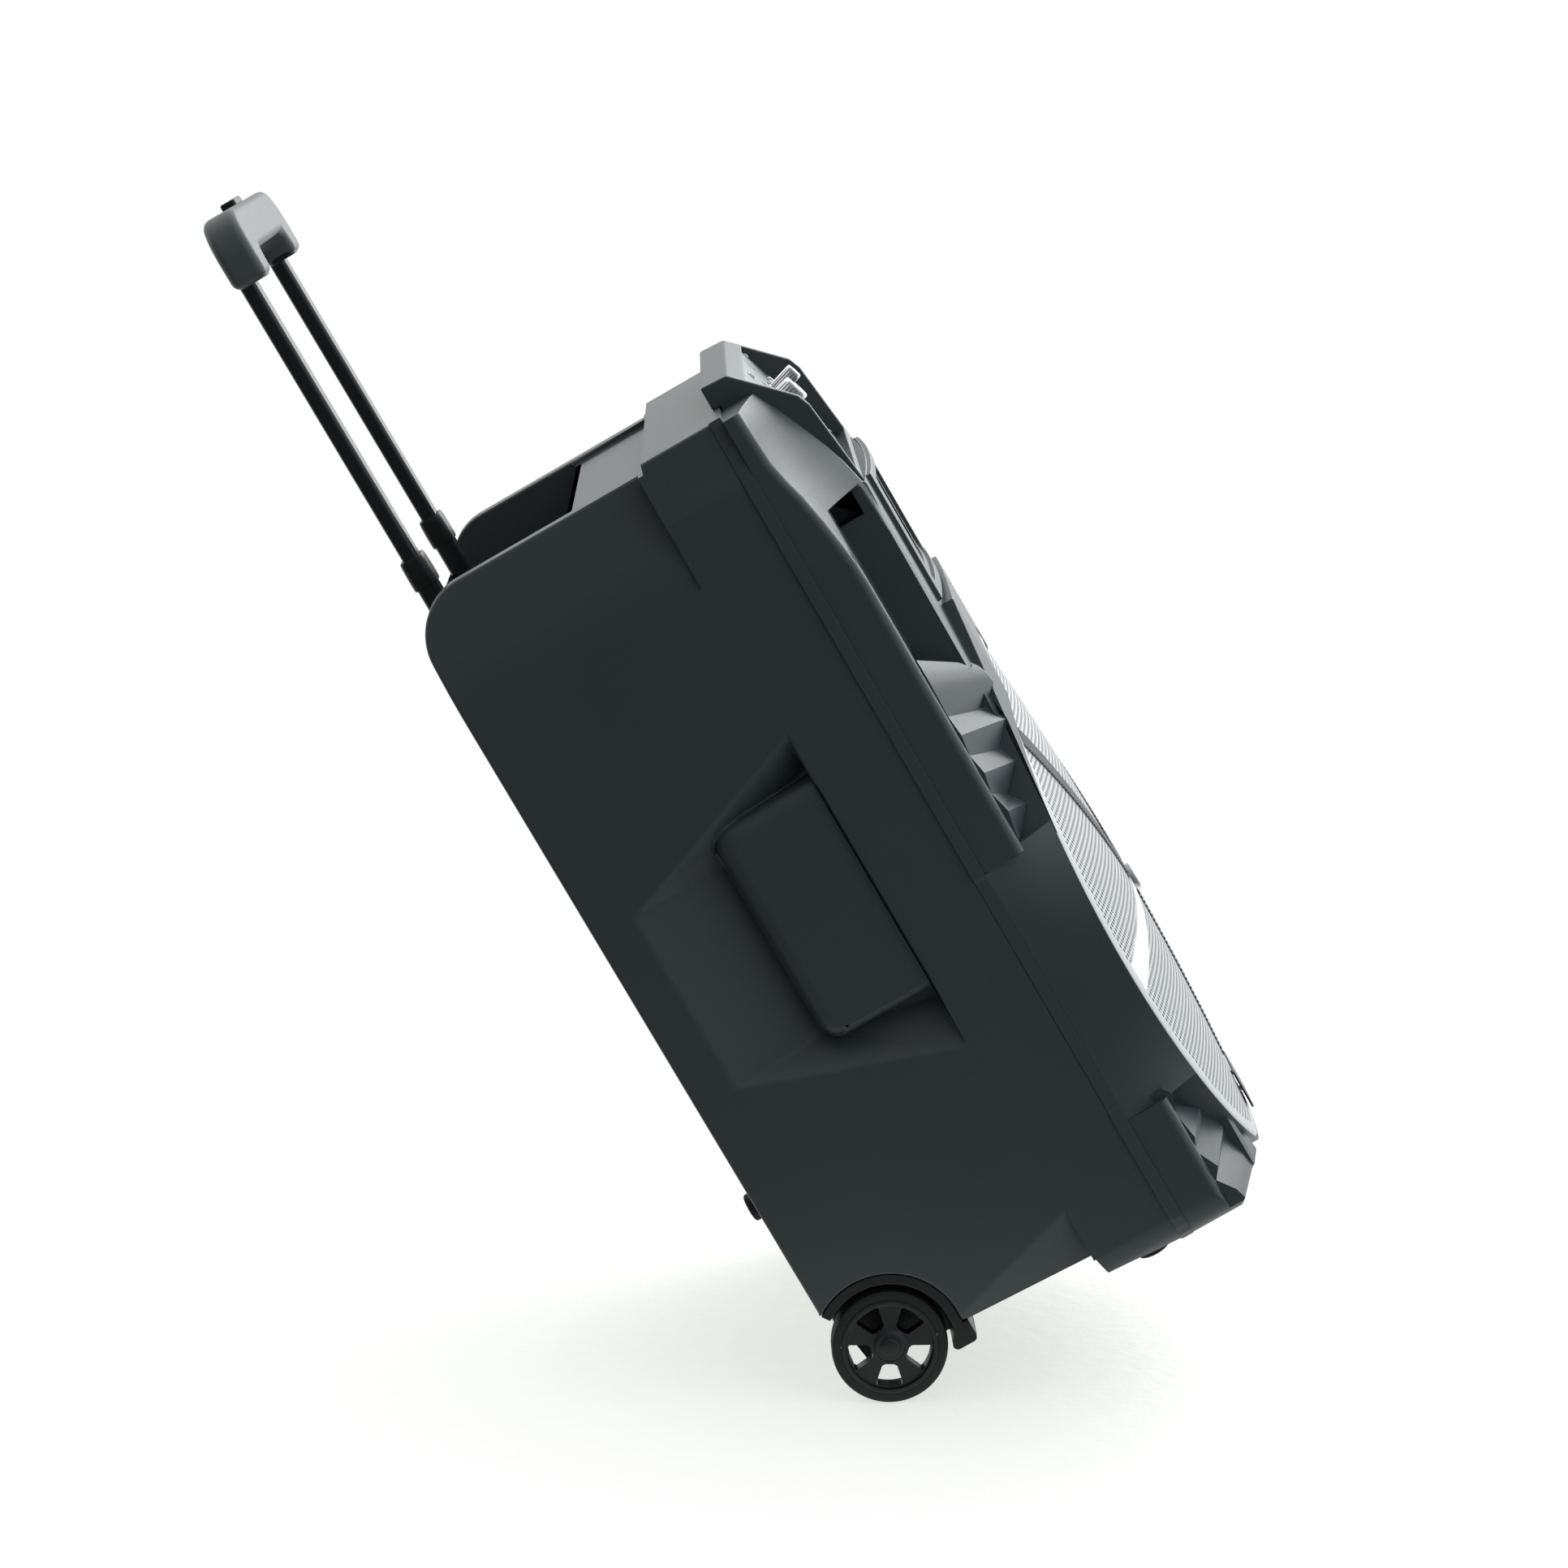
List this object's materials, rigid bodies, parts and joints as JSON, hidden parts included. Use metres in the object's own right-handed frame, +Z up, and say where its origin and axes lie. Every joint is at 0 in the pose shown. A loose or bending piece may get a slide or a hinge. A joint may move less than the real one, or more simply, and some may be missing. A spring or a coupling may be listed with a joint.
{
  "type": "party speaker",
  "caption": "Trolley party speaker: moulded cabinet with a domed round grille, a control pod, side grips, two wheels and a telescopic pull handle.",
  "frame": {"origin": "on the floor, under the middle of the whole object's bounding box", "axes": "+Z up, -Y the front with the grille, +X to the right as seen from the front"},
  "size_m": [0.433, 0.3415, 0.9305],
  "materials": {
    "housing": "fine satin texture, dark charcoal",
    "black_plastic": "satin moulded black",
    "grip_plastic": "satin dark grey",
    "grille_metal": "silver painted perforated steel",
    "panel": "light glossy",
    "chrome": "polished",
    "steel": "plated",
    "tube": "semi-gloss black enamel",
    "rubber": "matte",
    "paper": "pressed paper pulp",
    "ferrite": "dull ferrite",
    "board": "solder mask",
    "aluminium": "extruded",
    "battery": "sealed battery case",
    "dark_glass": "smoked clear"
  },
  "bodies": {
    "cabinet": {"rear_housing": "housing", "mid_frame": "housing", "front_shell": "housing", "control_bezel": "housing", "control_panel": "panel", "display_window": "dark_glass", "mic_jack_1": "black_plastic", "mic_jack_2": "black_plastic", "usb_socket": "steel", "control_board": "board", "woofer_basket": "steel", "woofer_magnet": "ferrite", "woofer_surround": "rubber", "grille": "grille_metal", "hub_badge": "chrome", "name_plate": "black_plastic", "horn": "black_plastic", "horn_driver": "ferrite", "port_tube_left": "black_plastic", "port_tube_right": "black_plastic", "amplifier_board": "board", "heat_sink": "aluminium", "rear_panel": "black_plastic", "power_inlet": "black_plastic", "battery": "battery", "battery_strap": "steel", "power_supply": "steel", "handle_base": "black_plastic", "outer_tube_left": "tube", "outer_tube_right": "tube", "tube_collar_left": "black_plastic", "tube_collar_right": "black_plastic", "axle_left": "steel", "axle_right": "steel", "wheel_arch_left": "black_plastic", "wheel_arch_right": "black_plastic", "front_foot_left": "rubber", "front_foot_right": "rubber", "rear_peg_left": "rubber", "rear_peg_right": "rubber"},
    "woofer_cone": {"woofer_cone": "paper", "voice_coil": "aluminium", "dust_cap": "paper"},
    "volume_knob": {"volume_knob": "chrome"},
    "mic_volume_knob": {"mic_volume_knob": "chrome"},
    "mode_button": {"mode_button": "black_plastic"},
    "previous_button": {"previous_button": "black_plastic"},
    "play_button": {"play_button": "black_plastic"},
    "next_button": {"next_button": "black_plastic"},
    "power_switch": {"power_switch": "black_plastic"},
    "handle": {"inner_tube_left": "tube", "inner_tube_right": "tube", "grip": "grip_plastic"},
    "release_button": {"release_button": "black_plastic", "release_yoke": "steel"},
    "wheel_left": {"wheel_hub_left": "black_plastic", "tyre_left": "rubber"},
    "wheel_right": {"wheel_hub_right": "black_plastic", "tyre_right": "rubber"}
  },
  "joints": [
    {"name": "handle_slide", "type": "slide", "parent": "cabinet", "child": "handle", "axis": [0, 0, 1], "range_m": [-0.212, 0]},
    {"name": "release_button_press", "type": "slide", "parent": "handle", "child": "release_button", "axis": [0, 0, -1], "range_m": [0, 0.004], "stiffness_N_per_m": 900, "springref_m": -0.006},
    {"name": "wheel_left_spin", "type": "hinge", "parent": "cabinet", "child": "wheel_left", "pos_m": [-0.202, 0.129, 0.04], "axis": [1, 0, 0], "continuous": true},
    {"name": "wheel_right_spin", "type": "hinge", "parent": "cabinet", "child": "wheel_right", "pos_m": [0.202, 0.129, 0.04], "axis": [1, 0, 0], "continuous": true},
    {"name": "volume_knob_turn", "type": "hinge", "parent": "cabinet", "child": "volume_knob", "pos_m": [-0.088, -0.12054, 0.62271], "axis": [0, -0.9508, 0.3099], "range_deg": [-150, 150]},
    {"name": "mic_volume_knob_turn", "type": "hinge", "parent": "cabinet", "child": "mic_volume_knob", "pos_m": [0.022, -0.12054, 0.62271], "axis": [0, -0.9508, 0.3099], "range_deg": [-150, 150]},
    {"name": "mode_button_press", "type": "slide", "parent": "cabinet", "child": "mode_button", "axis": [0, 0.9508, -0.3099], "range_m": [0, 0.0015], "stiffness_N_per_m": 400, "springref_m": -0.001},
    {"name": "previous_button_press", "type": "slide", "parent": "cabinet", "child": "previous_button", "axis": [0, 0.9508, -0.3099], "range_m": [0, 0.0015], "stiffness_N_per_m": 400, "springref_m": -0.001},
    {"name": "play_button_press", "type": "slide", "parent": "cabinet", "child": "play_button", "axis": [0, 0.9508, -0.3099], "range_m": [0, 0.0015], "stiffness_N_per_m": 400, "springref_m": -0.001},
    {"name": "next_button_press", "type": "slide", "parent": "cabinet", "child": "next_button", "axis": [0, 0.9508, -0.3099], "range_m": [0, 0.0015], "stiffness_N_per_m": 400, "springref_m": -0.001},
    {"name": "power_switch_rock", "type": "hinge", "parent": "cabinet", "child": "power_switch", "pos_m": [-0.04, 0.154, 0.3], "axis": [1, 0, 0], "range_deg": [-7, 7]},
    {"name": "cone_travel", "type": "slide", "parent": "cabinet", "child": "woofer_cone", "axis": [0, -1, 0], "range_m": [-0.004, 0.004], "stiffness_N_per_m": 2500}
  ]
}
